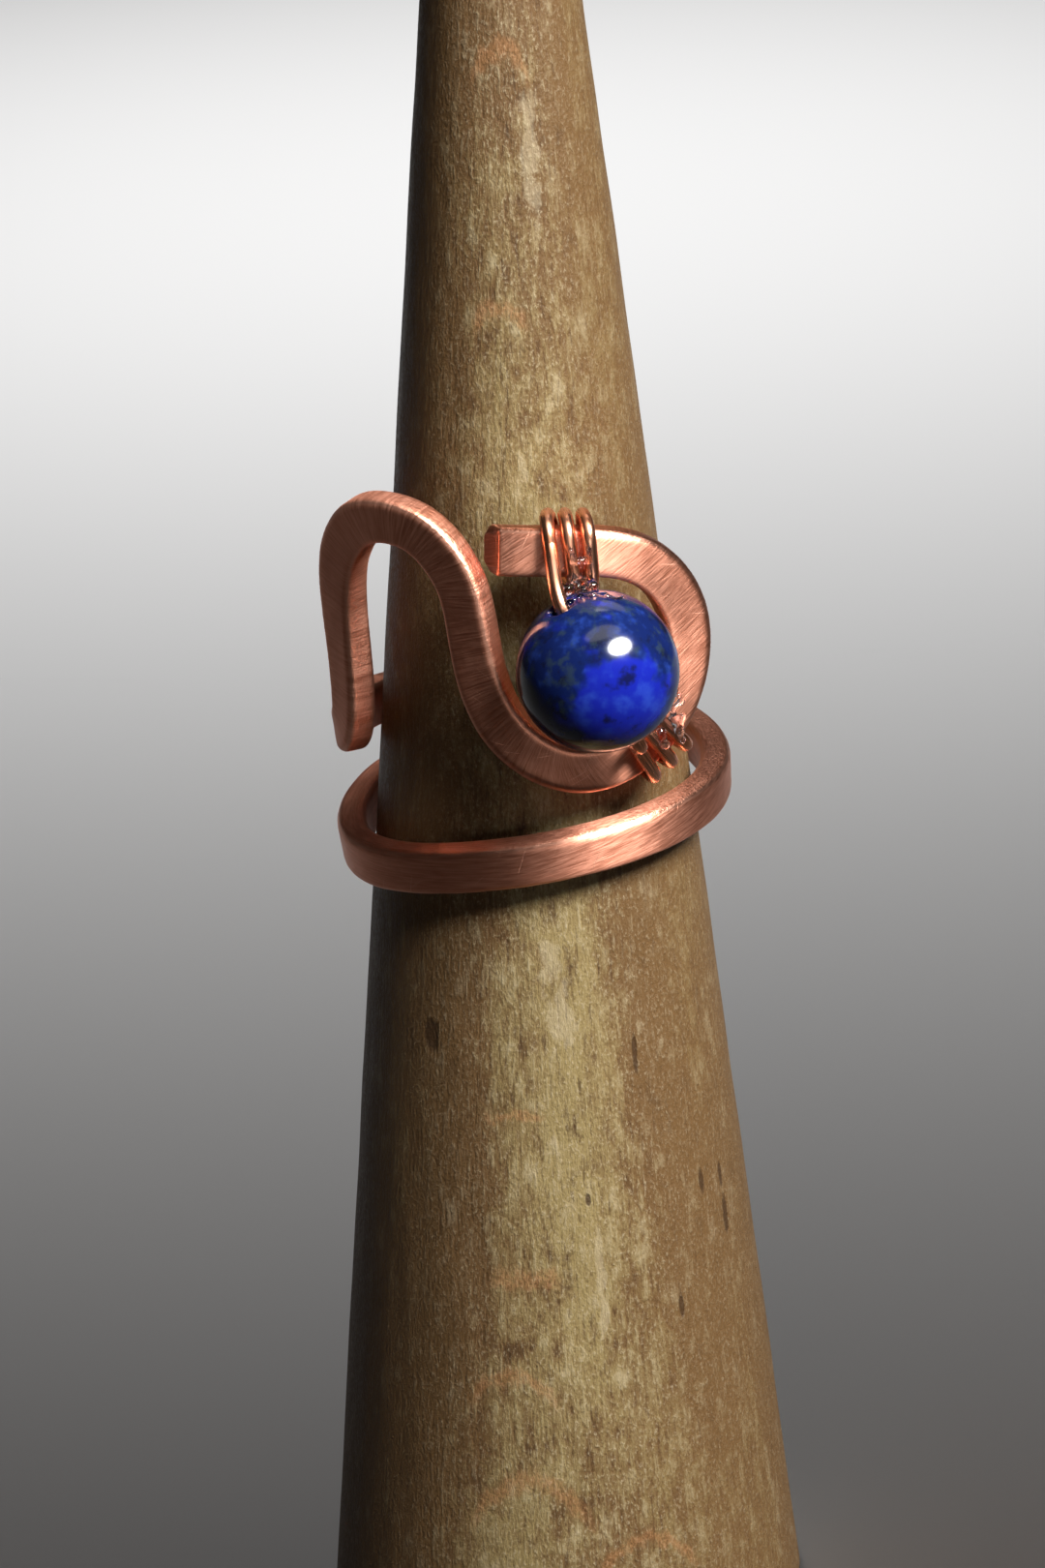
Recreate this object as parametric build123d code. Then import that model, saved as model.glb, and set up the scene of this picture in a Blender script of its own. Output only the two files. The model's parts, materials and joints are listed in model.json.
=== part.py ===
from build123d import *
import math
import os

# Copper ring of one flattened wire, with a round stone bead, on a plain wooden display cone.
# The cone stands on the XY plane with its axis on +Z, and the ring's front faces -Y.

# Ring wire, in millimetres
ring_bore = 17.2
wire_width = 2.5
wire_thickness = 1.6
wire_corner = 0.45
design_height = 20.0

# Bead and the thin wire that binds it
bead_diameter = 8.0
bead_hole = 1.2
bead_hole_round = 0.2
bead_angle = 13.9
bead_height_share = 0.525
bead_rise_share = 0.5
hole_slant = 26.0
binding_diameter = 0.72
top_wrap_gap = 0.13
top_wrap_lean = 0.4
low_wrap_gap = 0.21

# Display cone
cone_height = 96.0
cone_slope = 0.0996
cone_tip_round = 2.5
cone_foot_round = 0.6
ring_level = 46.0

# Clearances between pieces
seat_gap = 0.05
wrap_clearance = 0.12
bead_clearance = 0.06

# Stations of the flattened wire, from its cut tip to its hidden end. They are the poles of a
# cubic spline drawn on the unrolled finger.
# angle: degrees round the finger from its front, towards +X
# height: share of design_height above the ring's level
# lift: share of wire_thickness that the wire stands off the bore
# twist: degrees that the wide face turns about the run of the wire
STATIONS = [
    (-10.5, 0.788, 0.20, 8),
    (5, 0.786, 0.36, 4),
    (19, 0.782, 0.50, 0),
    (33, 0.745, 0.65, -8),
    (42.5, 0.655, 0.75, -22),
    (48.5, 0.545, 0.70, -30),
    (49, 0.430, 0.55, -26),
    (45.5, 0.330, 0.40, -12),
    (35.5, 0.258, 0.30, -2),
    (23, 0.206, 0.25, 2),
    (9, 0.207, 0.20, 0),
    (-4, 0.275, 0.22, -2),
    (-11.5, 0.377, 0.30, 3),
    (-14.8, 0.500, 0.42, 13),
    (-15.7, 0.632, 0.58, 19),
    (-18, 0.748, 0.74, 13),
    (-27.5, 0.856, 0.80, 7),
    (-40.5, 0.867, 0.72, 10),
    (-52, 0.833, 0.60, 16),
    (-63, 0.722, 0.48, 18),
    (-68.5, 0.600, 0.32, 17),
    (-71, 0.468, 0.14, 14),
    (-71.5, 0.345, 0.04, 12),
    (-73.5, 0.232, 0.02, 10),
    (-83, 0.188, 0, 6),
    (-101, 0.185, 0, 3),
    (-135, 0.150, 0, 0),
    (-180, 0.100, 0, -2),
    (-225, 0.055, 0, -3),
    (-262, 0.030, 0, -1),
    (-294, 0.017, 0, 3),
    (-327, 0.002, 0, 7),
    (-358, -0.027, 0, 9),
    (-389, -0.065, 0, 10),
    (-414, -0.103, 0, 10),
    (-440, -0.122, 0, 9),
    (-463, -0.104, 0, 6),
    (-492, -0.068, 0, 3),
    (-525, -0.036, 0, 0),
]

# Wraps of the thin wire round the flattened one: the place where they start, in spans from the
# flattened wire's tip, the turns in degrees where they start and end, how far apart they lie, and
# how far each turn leans towards the tip at the flattened wire's left edge
TOP_WRAPS = (1.22, -100, 796, binding_diameter + top_wrap_gap, top_wrap_lean)
LOW_WRAPS = (7.5, 120, -874, binding_diameter + low_wrap_gap, 0)

# Points of the thin wire in line with the bead's hole, in bead radii from the bead's middle
HOLE_RUN = [-1.24, -1.12, -0.8, -0.3, 0.3, 0.8, 1.1, 1.2]

# Tail of the thin wire: place on the flattened wire, in spans, and turn round it, in degrees
TAIL = [(6.3, 187), (6.15, 168), (5.98, 152), (5.82, 138), (5.68, 126)]

# How finely the wires are drawn
DEGREE = 3
WIRE_SECTIONS_PER_SPAN = 3
BINDING_SECTION_STEP = 0.42
BINDING_SIDES = 8
ROUTE_POINTS_PER_SPAN = 4
WRAP_STEP_DEGREES = 14
WALK_STEP_SPANS = 0.02
SURFACE_ROWS_PER_SPAN = 8
SURFACE_STEP_DEGREES = 20

middle_radius = ring_bore / 2 + wire_thickness / 2
outer_radius = ring_bore / 2 + wire_thickness
bead_radius = bead_diameter / 2
binding_radius = binding_diameter / 2
RING_SPANS = len(STATIONS) - DEGREE


def spline_row(rows, u):
    """Row at place u, counted in spans, of the cubic spline that has these rows as poles."""
    spans = len(rows) - DEGREE
    knots = [0.0] * DEGREE + [float(i) for i in range(spans + 1)] + [float(spans)] * DEGREE
    span = min(int(u), spans - 1) + DEGREE
    near = [list(rows[span - DEGREE + i]) for i in range(DEGREE + 1)]
    for level in range(1, DEGREE + 1):
        for i in range(DEGREE, level - 1, -1):
            low = knots[span - DEGREE + i]
            high = knots[span + 1 + i - level]
            share = (u - low) / (high - low)
            near[i] = [(1 - share) * a + share * b for a, b in zip(near[i - 1], near[i])]
    return near[DEGREE]


def outward_at(angle):
    """Level direction out of the finger at an angle in degrees from the front."""
    turn = math.radians(angle)
    return Vector(math.sin(turn), -math.cos(turn), 0)


def wire_centre(u):
    """Point on the middle line of the flattened wire."""
    angle, height, lift, _ = spline_row(STATIONS, u)
    radius = middle_radius + lift * wire_thickness
    return outward_at(angle) * radius + Vector(0, 0, ring_level + height * design_height)


def wire_plane(u):
    """Plane across the wire: x along its width, y out of its wide face, z along its run."""
    step = 0.001
    before = wire_centre(max(u - step, 0.0))
    after = wire_centre(min(u + step, float(RING_SPANS)))
    run = (after - before).normalized()
    angle, _, _, twist = spline_row(STATIONS, u)
    outward = outward_at(angle)
    outward = (outward - run * outward.dot(run)).normalized()
    side = outward.cross(run)
    lean = math.radians(twist)
    across = side * math.cos(lean) - outward * math.sin(lean)
    return Plane(origin=wire_centre(u), x_dir=across, z_dir=run)


def round_the_wire(u, degrees, offset):
    """Point round the wire's section, grown by offset: 0 is its left edge, 90 its wide face."""
    reach = wire_corner + offset
    half_width = wire_width / 2 - wire_corner
    half_thickness = wire_thickness / 2 - wire_corner
    quarter = math.pi / 2 * reach
    sides = [half_thickness, quarter, 2 * half_width, quarter, 2 * half_thickness]
    sides += [quarter, 2 * half_width, quarter, half_thickness]
    centres = [(1, 1), (-1, 1), (-1, -1), (1, -1)]
    left = (degrees % 360) / 360 * sum(sides)
    number = 0
    while left > sides[number]:
        left -= sides[number]
        number += 1
    if number % 2 == 1:
        along, out = centres[number // 2]
        turn = math.pi / 2 * (number // 2) + left / reach
        x = along * half_width + reach * math.cos(turn)
        y = out * half_thickness + reach * math.sin(turn)
    else:
        starts = [
            (half_width + reach, 0, 0, 1),
            (half_width, half_thickness + reach, -1, 0),
            (-half_width - reach, half_thickness, 0, -1),
            (-half_width, -half_thickness - reach, 1, 0),
            (half_width + reach, -half_thickness, 0, 1),
        ]
        x, y, step_x, step_y = starts[number // 2]
        x += step_x * left
        y += step_y * left
    return wire_plane(u).from_local_coords(Vector(x, y, 0))


def back_along_the_wire(u, distance):
    """Place on the flattened wire that lies a distance back from u, towards its tip."""
    gone = 0.0
    here = wire_centre(u)
    while gone < distance:
        u -= WALK_STEP_SPANS
        there = wire_centre(u)
        gone += (there - here).length
        here = there
    return u


def ring_wire():
    """The flattened wire, lofted through rounded rectangles from its tip to its hidden end."""
    sections = []
    for i in range(RING_SPANS * WIRE_SECTIONS_PER_SPAN + 1):
        plane = wire_plane(i / WIRE_SECTIONS_PER_SPAN)
        sections.append(plane * RectangleRounded(wire_width, wire_thickness, wire_corner))
    return loft(sections, ruled=True)


def ring_surface():
    """Points spread over the flattened wire, for seating other pieces on it."""
    points = []
    for i in range(RING_SPANS * SURFACE_ROWS_PER_SPAN + 1):
        for turn in range(0, 360, SURFACE_STEP_DEGREES):
            points.append(round_the_wire(i / SURFACE_ROWS_PER_SPAN, turn, 0.0))
    return points


def wraps(start, first_turn, last_turn, pitch, lean):
    """Middle line of the thin wire's turns round the flattened wire, back along it from start."""
    steps = round(abs(last_turn - first_turn) / WRAP_STEP_DEGREES)
    points = []
    for i in range(steps + 1):
        turn = first_turn + (last_turn - first_turn) * i / steps
        gone = pitch * abs(turn - first_turn) / 360 + lean * (1 + math.cos(math.radians(turn)))
        u = back_along_the_wire(start, gone)
        points.append(round_the_wire(u, turn, wrap_clearance + binding_radius))
    return points


def bead_seat(surface):
    """Middle of the bead: in front of the hook, clear of the flattened wire and its wraps."""
    standing = outer_radius + bead_rise_share * bead_radius
    level = Vector(0, 0, ring_level + bead_height_share * design_height)
    wrapped = wraps(*TOP_WRAPS) + wraps(*LOW_WRAPS)
    while True:
        middle = outward_at(bead_angle) * standing + level
        to_flat_wire = min((point - middle).length for point in surface)
        to_thin_wire = min((point - middle).length for point in wrapped) - binding_radius
        if min(to_flat_wire, to_thin_wire) >= bead_radius + bead_clearance:
            return middle
        standing += bead_clearance


def hole_direction():
    """Direction of the bead's hole: across the finger and down, from its upper end."""
    slant = math.radians(hole_slant)
    to_the_right = outward_at(bead_angle + 90)
    return to_the_right * math.sin(slant) - Vector(0, 0, math.cos(slant))


def bead(middle):
    """Round bead, drilled right through, with eased rims."""
    drill = Plane(origin=middle, z_dir=hole_direction())
    ball = drill * Sphere(bead_radius)
    ball -= drill * Cylinder(bead_hole / 2, bead_diameter + 2 * bead_hole)
    rims = ball.edges().filter_by(GeomType.CIRCLE).group_by(SortBy.RADIUS)[0]
    return fillet(rims, bead_hole_round)


def binding_route(middle):
    """Run of the thin wire: round the bar, through the bead, round the hook, to its tail."""
    down_hole = hole_direction() * bead_radius
    through = [middle + down_hole * share for share in HOLE_RUN]
    tail = [round_the_wire(u, turn, wrap_clearance + binding_radius) for u, turn in TAIL]
    return wraps(*TOP_WRAPS) + through + wraps(*LOW_WRAPS) + tail


def binding_sections(middle):
    """Rings of points round the thin wire, evenly spaced along its smoothed run."""
    poles = [tuple(point) for point in binding_route(middle)]
    spans = len(poles) - DEGREE
    chosen = [Vector(*poles[0])]
    for i in range(1, spans * ROUTE_POINTS_PER_SPAN + 1):
        point = Vector(*spline_row(poles, i / ROUTE_POINTS_PER_SPAN))
        if (point - chosen[-1]).length >= BINDING_SECTION_STEP:
            chosen.append(point)
    across = Vector(0, 0, 1)
    rings = []
    for i, point in enumerate(chosen):
        run = (chosen[min(i + 1, len(chosen) - 1)] - chosen[max(i - 1, 0)]).normalized()
        across = (across - run * across.dot(run)).normalized()
        other = run.cross(across)
        ring = []
        for k in range(BINDING_SIDES):
            turn = 2 * math.pi * k / BINDING_SIDES
            ring.append(point + (across * math.cos(turn) + other * math.sin(turn)) * binding_radius)
        rings.append(ring)
    return rings


def binding_wire(middle):
    """The thin wire as a closed faceted tube."""
    rings = binding_sections(middle)
    faces = [Face(Wire.make_polygon(rings[0])), Face(Wire.make_polygon(rings[-1]))]
    for ring, following in zip(rings, rings[1:]):
        for i in range(BINDING_SIDES):
            k = (i + 1) % BINDING_SIDES
            faces.append(Face(Wire.make_polygon([ring[i], ring[k], following[k]])))
            faces.append(Face(Wire.make_polygon([ring[i], following[k], following[i]])))
    return Solid(Shell(faces))


def display_cone(surface):
    """Plain turned cone on which the ring rests, with an eased foot and a rounded tip."""
    radius_at_ring = min(
        math.hypot(point.X, point.Y) + cone_slope * (point.Z - ring_level) for point in surface
    )
    radius_at_ring -= seat_gap
    foot_radius = radius_at_ring + cone_slope * ring_level
    tip_radius = foot_radius - cone_slope * cone_height
    cone = Cone(foot_radius, tip_radius, cone_height, align=(Align.CENTER, Align.CENTER, Align.MIN))
    rims = cone.edges().filter_by(GeomType.CIRCLE).sort_by(Axis.Z)
    cone = fillet(rims[-1], min(cone_tip_round, tip_radius - cone_foot_round))
    rims = cone.edges().filter_by(GeomType.CIRCLE).sort_by(Axis.Z)
    cone = fillet(rims[0], cone_foot_round)
    print("cone radius at the ring", round(radius_at_ring, 3))
    return cone


def main():
    surface = ring_surface()
    middle = bead_seat(surface)
    pieces = {
        "display_cone": display_cone(surface),
        "ring_wire": ring_wire(),
        "bead": bead(middle),
        "binding_wire": binding_wire(middle),
    }
    os.makedirs("parts", exist_ok=True)
    for name, piece in pieces.items():
        export_step(piece, f"parts/{name}.step")
        print(name, round(piece.volume, 2), piece.is_valid)


main()
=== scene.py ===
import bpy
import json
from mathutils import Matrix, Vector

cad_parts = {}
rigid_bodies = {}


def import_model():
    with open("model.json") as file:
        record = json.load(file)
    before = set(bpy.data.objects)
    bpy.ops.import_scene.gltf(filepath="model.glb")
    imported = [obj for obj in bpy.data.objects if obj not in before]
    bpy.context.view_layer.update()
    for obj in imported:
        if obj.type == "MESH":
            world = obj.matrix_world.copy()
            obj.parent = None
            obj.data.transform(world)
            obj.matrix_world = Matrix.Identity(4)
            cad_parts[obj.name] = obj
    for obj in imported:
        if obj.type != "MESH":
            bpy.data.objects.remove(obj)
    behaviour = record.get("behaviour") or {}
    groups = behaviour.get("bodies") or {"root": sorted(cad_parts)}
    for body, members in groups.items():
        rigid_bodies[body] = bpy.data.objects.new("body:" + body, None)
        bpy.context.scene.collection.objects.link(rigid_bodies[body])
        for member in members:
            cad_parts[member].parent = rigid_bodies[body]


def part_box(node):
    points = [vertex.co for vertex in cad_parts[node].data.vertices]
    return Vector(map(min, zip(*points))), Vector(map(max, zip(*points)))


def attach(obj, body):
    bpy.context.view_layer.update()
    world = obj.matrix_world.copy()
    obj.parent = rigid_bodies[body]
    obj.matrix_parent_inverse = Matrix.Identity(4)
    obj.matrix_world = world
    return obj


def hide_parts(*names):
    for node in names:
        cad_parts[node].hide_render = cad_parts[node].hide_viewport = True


bl_info = {
    "name": "Copper Ring on a Display Cone",
    "version": (1, 0, 0),
    "blender": (4, 5, 0),
    "location": "3D View > Sidebar > Copper Ring",
    "description": "Makes a ring of flattened copper wire with a bound blue bead, on a worn wooden cone",
    "category": "Add Mesh",
}

import json
import math

import bmesh
import bpy
from bpy.props import FloatProperty, FloatVectorProperty, IntProperty, PointerProperty
from mathutils import Matrix, Vector, noise

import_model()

MM = 0.001
PER_MM = 1000.0
HALF_TURN = 180.0
FULL_TURN = 360.0
CONE_LOW, CONE_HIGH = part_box("display_cone")
BEAD_LOW, BEAD_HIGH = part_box("bead")
BEAD_MIDDLE = (BEAD_LOW + BEAD_HIGH) / 2
BEAD_RADIUS = (BEAD_HIGH.z - BEAD_LOW.z) / 2

# Poles of the flattened wire's middle line, from its cut tip to its hidden end
# angle: degrees round the finger from its front, towards +X
# height: share of the design's height above the ring's level
# lift: share of the wire's thickness that it stands off the finger
# twist: degrees that the wide face turns about the run of the wire
WIRE_POLES = [
    (-10.5, 0.788, 0.20, 8),
    (5, 0.786, 0.36, 4),
    (19, 0.782, 0.50, 0),
    (33, 0.745, 0.65, -8),
    (42.5, 0.655, 0.75, -22),
    (48.5, 0.545, 0.70, -30),
    (49, 0.430, 0.55, -26),
    (45.5, 0.330, 0.40, -12),
    (35.5, 0.258, 0.30, -2),
    (23, 0.206, 0.25, 2),
    (9, 0.207, 0.20, 0),
    (-4, 0.275, 0.22, -2),
    (-11.5, 0.377, 0.30, 3),
    (-14.8, 0.500, 0.42, 13),
    (-15.7, 0.632, 0.58, 19),
    (-18, 0.748, 0.74, 13),
    (-27.5, 0.856, 0.80, 7),
    (-40.5, 0.867, 0.72, 10),
    (-52, 0.833, 0.60, 16),
    (-63, 0.722, 0.48, 18),
    (-68.5, 0.600, 0.32, 17),
    (-71, 0.468, 0.14, 14),
    (-71.5, 0.345, 0.04, 12),
    (-73.5, 0.232, 0.02, 10),
    (-83, 0.188, 0, 6),
    (-101, 0.185, 0, 3),
    (-135, 0.150, 0, 0),
    (-180, 0.100, 0, -2),
    (-225, 0.055, 0, -3),
    (-262, 0.030, 0, -1),
    (-294, 0.017, 0, 3),
    (-327, 0.002, 0, 7),
    (-358, -0.027, 0, 9),
    (-389, -0.065, 0, 10),
    (-414, -0.103, 0, 10),
    (-440, -0.122, 0, 9),
    (-463, -0.104, 0, 6),
    (-492, -0.068, 0, 3),
    (-525, -0.036, 0, 0),
]

# Places of the thin wire along the bead's hole, in bead radii from the bead's middle
HOLE_PLACES = (-1.1, -0.8, -0.3, 0.3, 0.8, 1.1, 1.2)

# Drops of glue, in millimetres from the bead's middle
# right, up, out: the drop's middle, with out away from the finger
# radius: the drop's size
TOP_DROPS = [
    (-0.5, 4.2, -2.1, 0.34),
    (0.2, 4.1, -2.1, 0.34),
    (-0.3, 3.9, -1.6, 0.37),
    (-1, 3.9, -1.3, 0.33),
    (0.2, 4, -1.1, 0.34),
    (-0.4, 4, -0.6, 0.28),
    (-0.5, 5.1, -1.85, 0.25),
    (0.2, 5.1, -1.85, 0.25),
    (-0.6, 5.7, -1.85, 0.18),
    (0.3, 5.6, -1.85, 0.18),
    (-0.7, 3.85, -0.1, 0.23),
    (-0.2, 3.93, 0.2, 0.25),
    (0.4, 3.92, 0.4, 0.25),
    (0.8, 3.76, 0.7, 0.21),
    (1.3, 3.72, 0.4, 0.18),
    (-1.3, 3.72, 0.1, 0.21),
    (-1.7, 3.5, 0.1, 0.20),
    (-2.3, 3.25, -0.2, 0.11),
    (-2.8, 2.78, -0.3, 0.10),
]
LOW_DROPS = [
    (2.6, -4.9, -2.3, 0.26),
    (4, -5.2, -2.7, 0.29),
    (3.8, -4.5, -2.6, 0.29),
    (4.8, -4.6, -2.9, 0.29),
    (4.5, -3.9, -2.8, 0.27),
    (5, -5.2, -3, 0.21),
    (4.6, -2.3, -2.4, 0.20),
    (4.9, -3, -2.6, 0.22),
    (4.4, -3.3, -2.4, 0.22),
    (5.1, -4, -3.1, 0.21),
]

# Curved brown figures in the wood's grain: degrees round the cone, height in millimetres, half
# width, drop at its ends and thickness, all in millimetres
GRAIN_ARCHES = [
    (-3, 85.5, 1.5, 1.6, 0.45),
    (-8, 72.8, 1.4, 0.9, 0.40),
    (-11, 31.4, 1.6, 0.2, 0.22),
    (-9, 22.7, 1.9, 0.1, 0.40),
    (-13, 17.4, 2.4, 1.6, 0.40),
    (-9, 11.6, 3.4, 2.6, 0.50),
    (20, 8.0, 3.0, 2.2, 0.35),
]
# Dark knots and spots: degrees round the cone, height, half width and half height
DARK_SPOTS = [
    (-39.5, 35.1, 0.55, 1.0),
    (10.4, 26.8, 0.16, 0.38),
    (50, 26.1, 0.22, 0.75),
    (60.2, 25.7, 0.20, 0.70),
    (60.5, 23.5, 0.24, 1.10),
    (37.1, 19.9, 0.18, 0.80),
    (29, 34.0, 0.16, 1.10),
]
# Pale rubbed patches, and one painted highlight of a glint streak high on the cone's front, as the spots
# above
PALE_PATCHES_AND_GLINT = [
    (2, 39.4, 0.55, 1.3),
    (5.5, 36.6, 0.85, 1.5),
    # Painted highlight: a glint streak high on the cone's front
    (14, 80.5, 0.45, 3.5),
    (13, 22.0, 0.25, 3.2),
]


# Node helpers

class Output:
    """Output of a node. A sum, difference, product or quotient with it adds a Math node."""

    def __init__(self, tree, socket):
        self.tree = tree
        self.socket = socket

    def __add__(self, other):
        return maths("ADD", self, other)

    def __sub__(self, other):
        return maths("SUBTRACT", self, other)

    def __rsub__(self, other):
        return maths("SUBTRACT", other, self)

    def __mul__(self, other):
        return maths("MULTIPLY", self, other)

    def __truediv__(self, other):
        return maths("DIVIDE", self, other)

    def __abs__(self):
        return maths("ABSOLUTE", self)


class Outputs:
    """Outputs of a node, read by name or number."""

    def __init__(self, tree, sockets):
        self.tree = tree
        self.sockets = sockets

    def __getitem__(self, name):
        return Output(self.tree, self.sockets[name])


def fill(tree, sockets, values):
    """Fills input sockets with values or outputs. A list of outputs is joined in one socket."""
    for name, value in values.items():
        for one in reversed(value) if isinstance(value, list) else [value]:
            if isinstance(one, Output):
                tree.links.new(one.socket, sockets[name])
            else:
                sockets[name].default_value = one


def node(tree, kind, inputs=None, **settings):
    """Adds a node, sets its settings, fills its inputs and returns its outputs."""
    made = tree.nodes.new(kind)
    for name, value in settings.items():
        setattr(made, name, value)
    fill(tree, made.inputs, inputs or {})
    return Outputs(tree, made.outputs)


def tree_of(*values):
    """Tree of the first output among some values."""
    return next(value.tree for value in values if isinstance(value, Output))


def maths(operation, first, second=0.0):
    """Output of a Math node."""
    inputs = {0: first, 1: second}
    return node(tree_of(first, second), "ShaderNodeMath", inputs, operation=operation)[0]


def vectors(operation, first, second=(0.0, 0.0, 0.0)):
    """Output of a Vector Math node on one vector or two."""
    inputs = {0: first, 1: second}
    made = node(tree_of(first, second), "ShaderNodeVectorMath", inputs, operation=operation)
    return made["Value" if operation in ("DOT_PRODUCT", "LENGTH") else "Vector"]


def scaled(vector, factor):
    """Vector times a number."""
    inputs = {0: vector, "Scale": factor}
    return node(vector.tree, "ShaderNodeVectorMath", inputs, operation="SCALE")["Vector"]


def combined(x=0.0, y=0.0, z=0.0):
    """Vector made of three numbers or outputs."""
    return node(tree_of(x, y, z), "ShaderNodeCombineXYZ", {0: x, 1: y, 2: z})[0]


def parts(vector):
    """The three numbers of a vector."""
    made = node(vector.tree, "ShaderNodeSeparateXYZ", {0: vector})
    return made["X"], made["Y"], made["Z"]


# Geometry Nodes that the pieces share

FLOAT = "NodeSocketFloat"
GEOMETRY = "NodeSocketGeometry"
OBJECT = "NodeSocketObject"
MATERIAL = "NodeSocketMaterial"


def floats(*labels):
    """Number inputs of a tree."""
    return [(label, FLOAT) for label in labels]


BAR_INPUTS = [
    ("Path", OBJECT),
    *floats("Finger radius", "Ring level", "Bar width", "Bar thickness", "Bar corner", "Step"),
]


def geometry_tree(name, inputs, output="Geometry"):
    """Empty geometry node tree with named inputs and one output, and what its inputs give."""
    tree = bpy.data.node_groups.new(name, "GeometryNodeTree")
    for label, kind in inputs:
        tree.interface.new_socket(label, in_out="INPUT", socket_type=kind)
    tree.interface.new_socket(output, in_out="OUTPUT", socket_type=GEOMETRY)
    return tree, Outputs(tree, tree.nodes.new("NodeGroupInput").outputs)


def end_tree(geometry):
    """Sends geometry to its tree's output and returns the tree."""
    tree = geometry.tree
    fill(tree, tree.nodes.new("NodeGroupOutput").inputs, {0: geometry})
    return tree


def finished_tree(given, geometry):
    """Ends a tree with smooth faces, real geometry and its material."""
    tree = geometry.tree
    smooth = node(tree, "GeometryNodeSetShadeSmooth", {"Geometry": geometry})
    real = node(tree, "GeometryNodeRealizeInstances", {"Geometry": smooth["Geometry"]})
    inputs = {"Geometry": real["Geometry"], "Material": given["Material"]}
    return end_tree(node(tree, "GeometryNodeSetMaterial", inputs)["Geometry"])


def position(tree):
    """Place of each point."""
    return node(tree, "GeometryNodeInputPosition")[0]


def named(tree, name, kind="FLOAT_VECTOR"):
    """Named attribute."""
    return node(tree, "GeometryNodeInputNamedAttribute", {"Name": name}, data_type=kind)["Attribute"]


def stored(geometry, name, value, kind="FLOAT_VECTOR"):
    """Geometry with a value kept on its points under a name."""
    inputs = {"Geometry": geometry, "Name": name, "Value": value}
    made = node(geometry.tree, "GeometryNodeStoreNamedAttribute", inputs, data_type=kind, domain="POINT")
    return made["Geometry"]


def moved(geometry, **inputs):
    """Geometry with its points set to a Position or shifted by an Offset."""
    return node(geometry.tree, "GeometryNodeSetPosition", {"Geometry": geometry, **inputs})["Geometry"]


def resized(geometry, factor):
    """Geometry made larger or smaller about the origin."""
    inputs = {"Geometry": geometry, "Scale": (factor, factor, factor)}
    return node(geometry.tree, "GeometryNodeTransform", inputs)["Geometry"]


def stepped(curve, step):
    """Curve with points at even steps."""
    inputs = {"Curve": curve, "Length": step}
    return node(curve.tree, "GeometryNodeResampleCurve", inputs, mode="LENGTH")["Curve"]


def measured(curve):
    """Curve whose points keep their distance from its start, named along."""
    here = node(curve.tree, "GeometryNodeSplineParameter")["Length"]
    return stored(curve, "along", here, "FLOAT")


def swept(curve, profile, **inputs):
    """Closed mesh of a profile swept along a curve, and the place of its points in the profile."""
    tree = curve.tree
    profile = stored(profile, "section_place", position(tree))
    inputs = {"Curve": curve, "Profile Curve": profile, "Fill Caps": True, **inputs}
    mesh = node(tree, "GeometryNodeCurveToMesh", inputs)["Mesh"]
    return mesh, parts(named(tree, "section_place"))


# Geometry Nodes of the wires and the glue

def bent_path_tree():
    """Node group that bends the flat path of the wire round the finger and gives it its twist."""
    tree, given = geometry_tree("Path round the finger", BAR_INPUTS, "Curve")
    path = node(tree, "GeometryNodeObjectInfo", {"Object": given["Path"]})
    # The place is read on the flat path for the bend, and on the bent path after it
    place = position(tree)
    run, height, lift = parts(place)
    middle = given["Finger radius"] + given["Bar thickness"] * 0.5
    angle = run / middle
    radius = middle + lift
    forward = maths("COSINE", angle) * radius
    round_finger = combined(maths("SINE", angle) * radius, forward * -1.0, given["Ring level"] + height)
    bent = moved(stepped(path["Geometry"], given["Step"]), Position=round_finger)
    outward = vectors("NORMALIZE", vectors("MULTIPLY", place, (1.0, 1.0, 0.0)))
    tangent = node(tree, "GeometryNodeInputTangent")[0]
    along = scaled(tangent, vectors("DOT_PRODUCT", outward, tangent))
    square = vectors("NORMALIZE", vectors("SUBTRACT", outward, along))
    twist = node(tree, "GeometryNodeInputCurveTilt")[0] * -1.0
    inputs = {"Vector": square, "Axis": tangent, "Angle": twist}
    turned = node(tree, "ShaderNodeVectorRotate", inputs, rotation_type="AXIS_ANGLE")
    faced = measured(stored(bent, "wide_face", turned[0]))
    plain = node(tree, "GeometryNodeSetCurveTilt", {"Curve": faced, "Tilt": 0.0})
    inputs = {"Curve": plain["Curve"], "Normal": named(tree, "wide_face")}
    return end_tree(node(tree, "GeometryNodeSetCurveNormal", inputs, mode="FREE")["Curve"])


def bent_path(group, given):
    """The bent path of the flattened wire inside another tree."""
    inputs = {name: given[name] for name, _ in BAR_INPUTS}
    return node(given.tree, "GeometryNodeGroup", inputs, node_tree=group)["Curve"]


# Points of each rounded corner of the section
CORNER_STEPS = 8


def section(given, grow, count):
    """Closed curve of the flattened wire's section, grown by a distance, with a count of points."""
    tree = given.tree
    inputs = {"Width": given["Bar thickness"] + grow * 2.0, "Height": given["Bar width"] + grow * 2.0}
    box = node(tree, "GeometryNodeCurvePrimitiveQuadrilateral", inputs)
    inputs = {"Curve": box["Curve"], "Count": CORNER_STEPS, "Radius": given["Bar corner"] + grow}
    rounded = node(tree, "GeometryNodeFilletCurve", inputs, mode="POLY")
    inputs = {"Curve": rounded["Curve"], "Count": count}
    return node(tree, "GeometryNodeResampleCurve", inputs, mode="COUNT")["Curve"]


# Points round the flattened wire
BAR_SIDES = 52
# Length of wire over which the slant of its cut tip dies away, and how far forward the middle of
# the tip comes, as a share of the slant
CUT_REACH = 1.6 * MM
CUT_FORWARD = 0.1
# Cells of the hammered unevenness for each metre
UNEVEN_CELLS = 520.0


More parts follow.
